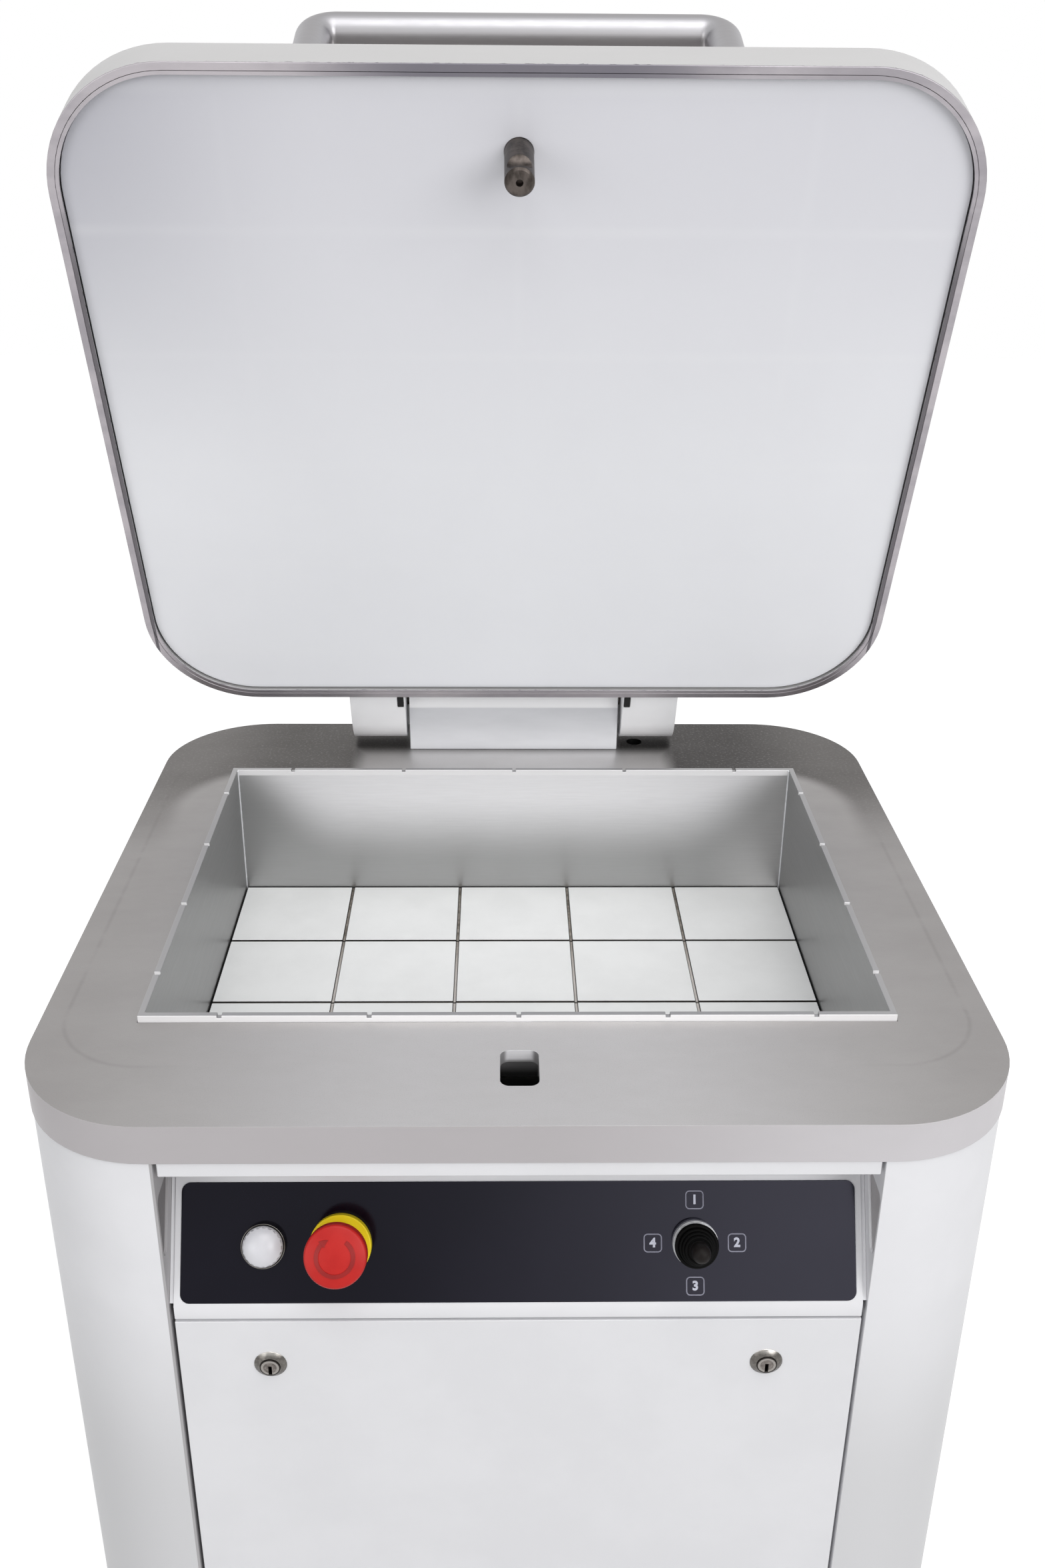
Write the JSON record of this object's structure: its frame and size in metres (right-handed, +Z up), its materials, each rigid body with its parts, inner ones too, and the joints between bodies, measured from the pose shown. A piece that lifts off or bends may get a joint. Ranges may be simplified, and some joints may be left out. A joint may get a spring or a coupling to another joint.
{
  "type": "dough divider",
  "caption": "Floor-standing hydraulic dough divider: hinged press lid over a square pan of cells with rising knives, sloped console, latch and castors.",
  "frame": {"origin": "on the floor below the middle of the pan", "axes": "+X to the right as the user faces the console, +Y to the back, +Z up"},
  "size_m": [0.64, 0.6551, 1.5127],
  "materials": {
    "white_paint": "satin white powder coat on sheet steel",
    "lid_cast": "white coat with a bare, worn rim",
    "plate_metal": "fine blasted grey",
    "pan_steel": "satin",
    "block_plastic": "smooth white",
    "knife_steel": "ground",
    "bright_steel": "satin",
    "dark_steel": "oiled",
    "frame_paint": "grey paint",
    "valve_metal": "machined",
    "motor_paint": "blue paint",
    "bush_bronze": "plain",
    "box_plastic": "moulded grey",
    "label_film": "satin film",
    "button_plastic": "white",
    "stop_red": "red",
    "stop_yellow": "yellow",
    "black_plastic": "moulded black",
    "black_rubber": "moulded black"
  },
  "bodies": {
    "cabinet": {"side_cover_left": "white_paint", "side_cover_right": "white_paint", "rear_panel": "white_paint", "front_panel": "white_paint", "header_rail": "white_paint", "control_console": "white_paint", "top_plate": "plate_metal", "pan": "pan_steel", "hinge_block": "bright_steel", "guide_rods": "bright_steel", "oil_pipes": "bright_steel", "panel_screws": "bright_steel", "joystick_ring": "bright_steel", "button_bezel": "bright_steel", "lock_housings": "bright_steel", "hinge_spring": "dark_steel", "levelling_feet": "dark_steel", "castor_forks": "dark_steel", "latch_housing": "dark_steel", "oil_pump": "dark_steel", "base_frame": "frame_paint", "main_cylinder": "frame_paint", "knife_cylinders": "frame_paint", "oil_tank": "frame_paint", "valve_block": "valve_metal", "pump_motor": "motor_paint", "control_box": "box_plastic", "console_label": "label_film", "stop_collar": "stop_yellow", "lid_sensor": "black_plastic", "power_inlet": "black_plastic"},
    "lid": {"lid_shell": "lid_cast", "lid_press_plate": "block_plastic", "lid_pin": "dark_steel", "lid_handle": "bright_steel", "hinge_arms": "white_paint", "hinge_shaft": "dark_steel", "hinge_plugs": "black_plastic", "arm_screws": "dark_steel"},
    "press": {"press_blocks": "block_plastic", "block_stems": "bright_steel", "press_platform": "frame_paint", "platform_bushes": "bush_bronze", "main_piston": "bright_steel"},
    "knives": {"knife_grid": "knife_steel", "knife_lift_rods": "bright_steel", "knife_carrier": "frame_paint", "carrier_bushes": "bush_bronze", "knife_pistons": "bright_steel"},
    "latch": {"latch_bolt": "bright_steel"},
    "start": {"start_button": "button_plastic"},
    "stop_stem": {"stop_plunger": "black_plastic"},
    "stop_knob": {"stop_head": "stop_red"},
    "gimbal": {"joystick_gimbal": "dark_steel"},
    "lever": {"joystick_lever": "black_plastic", "joystick_gaiter": "black_rubber"},
    "lock_left": {"lock_plug_left": "dark_steel"},
    "lock_right": {"lock_plug_right": "dark_steel"},
    "wheel_left": {"castor_wheel_left": "black_rubber"},
    "wheel_right": {"castor_wheel_right": "black_rubber"}
  },
  "joints": [
    {"name": "lid_hinge", "type": "hinge", "parent": "cabinet", "child": "lid", "pos_m": [0, 0.283, 0.944], "axis": [1, 0, 0], "range_deg": [0, 68.5], "stiffness_Nm_per_rad": 17, "springref_deg": -100.84},
    {"name": "press_lift", "type": "slide", "parent": "cabinet", "child": "press", "axis": [0, 0, 1], "range_m": [0, 0.118]},
    {"name": "knife_lift", "type": "slide", "parent": "cabinet", "child": "knives", "axis": [0, 0, 1], "range_m": [0, 0.12]},
    {"name": "latch_slide", "type": "slide", "parent": "cabinet", "child": "latch", "axis": [0, 1, 0], "range_m": [0, 0.013], "stiffness_N_per_m": 300},
    {"name": "start_push", "type": "slide", "parent": "cabinet", "child": "start", "axis": [0, 0.866, -0.5], "range_m": [0, 0.004], "stiffness_N_per_m": 500},
    {"name": "stop_push", "type": "slide", "parent": "cabinet", "child": "stop_stem", "axis": [0, 0.866, -0.5], "range_m": [0, 0.005], "stiffness_N_per_m": 800},
    {"name": "stop_twist", "type": "hinge", "parent": "stop_stem", "child": "stop_knob", "pos_m": [-0.115, -0.31598, 0.80527], "axis": [0, 0.866, -0.5], "range_deg": [0, 45], "stiffness_Nm_per_rad": 0.05},
    {"name": "joystick_tilt_up", "type": "hinge", "parent": "cabinet", "child": "gimbal", "pos_m": [0.1136, -0.28654, 0.78827], "axis": [1, 0, 0], "range_deg": [-10, 10], "stiffness_Nm_per_rad": 0.4},
    {"name": "joystick_tilt_across", "type": "hinge", "parent": "gimbal", "child": "lever", "pos_m": [0.1136, -0.28654, 0.78827], "axis": [0, 0.5, 0.866], "range_deg": [-10, 10], "stiffness_Nm_per_rad": 0.4},
    {"name": "lock_left_turn", "type": "hinge", "parent": "cabinet", "child": "lock_left", "pos_m": [-0.163, -0.3095, 0.707], "axis": [0, 1, 0], "range_deg": [0, 90]},
    {"name": "lock_right_turn", "type": "hinge", "parent": "cabinet", "child": "lock_right", "pos_m": [0.163, -0.3095, 0.707], "axis": [0, 1, 0], "range_deg": [0, 90]},
    {"name": "wheel_left_roll", "type": "hinge", "parent": "cabinet", "child": "wheel_left", "pos_m": [-0.23, 0.2245, 0.05], "axis": [1, 0, 0], "continuous": true},
    {"name": "wheel_right_roll", "type": "hinge", "parent": "cabinet", "child": "wheel_right", "pos_m": [0.23, 0.2245, 0.05], "axis": [1, 0, 0], "continuous": true}
  ]
}
